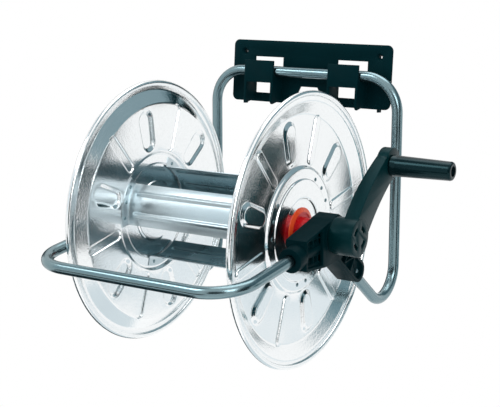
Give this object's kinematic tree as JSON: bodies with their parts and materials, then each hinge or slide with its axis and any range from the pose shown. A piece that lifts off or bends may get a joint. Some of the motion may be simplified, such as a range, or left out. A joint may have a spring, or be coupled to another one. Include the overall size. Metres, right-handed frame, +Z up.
{
  "type": "wall mounted hose reel",
  "caption": "Wall hung garden hose reel: moulded bracket with open hooks, bent tube frame with bearing blocks, and a drum of pressed steel discs and slats turned by a swept crank.",
  "frame": {"origin": "on the wall plane, midway between the two wall screw holes of the bracket", "axes": "+X along the drum's axle towards the crank, +Y into the wall, +Z up"},
  "size_m": [0.5186, 0.4667, 0.4435],
  "materials": {
    "zinc_steel": "bright zinc plate",
    "screw_steel": "zinc plate",
    "black_plastic": "fine moulded satin",
    "grip_plastic": "gloss",
    "red_plastic": "gloss",
    "seal_rubber": "matt"
  },
  "bodies": {
    "bracket": {"wall_bracket": "black_plastic"},
    "frame": {"rear_frame_tube": "zinc_steel", "front_frame_tube": "zinc_steel", "crank_side_block": "black_plastic", "inlet_side_block": "black_plastic", "tube_screws": "screw_steel", "inlet_fitting": "black_plastic", "inlet_seals": "seal_rubber", "inlet_screws": "screw_steel"},
    "drum": {"crank_side_disc": "zinc_steel", "inlet_side_disc": "zinc_steel", "rear_slat": "zinc_steel", "front_slat": "zinc_steel", "lower_slat": "zinc_steel", "crank_side_rivets": "screw_steel", "inlet_side_rivets": "screw_steel", "crank_side_hub": "red_plastic", "inlet_side_hub": "red_plastic", "hose_elbow": "black_plastic", "crank_arm": "black_plastic", "grip_pin": "screw_steel"},
    "grip": {"crank_grip": "grip_plastic"}
  },
  "joints": [
    {"name": "frame_swing", "type": "hinge", "parent": "bracket", "child": "frame", "pos_m": [0, -0.03, -0.029], "axis": [-1, 0, 0], "range_deg": [0, 30]},
    {"name": "drum_spin", "type": "hinge", "parent": "frame", "child": "drum", "pos_m": [0, -0.23242, -0.23552], "axis": [1, 0, 0], "continuous": true},
    {"name": "grip_spin", "type": "hinge", "parent": "drum", "child": "grip", "pos_m": [0.257, -0.1463, -0.14448], "axis": [1, 0, 0], "continuous": true}
  ]
}
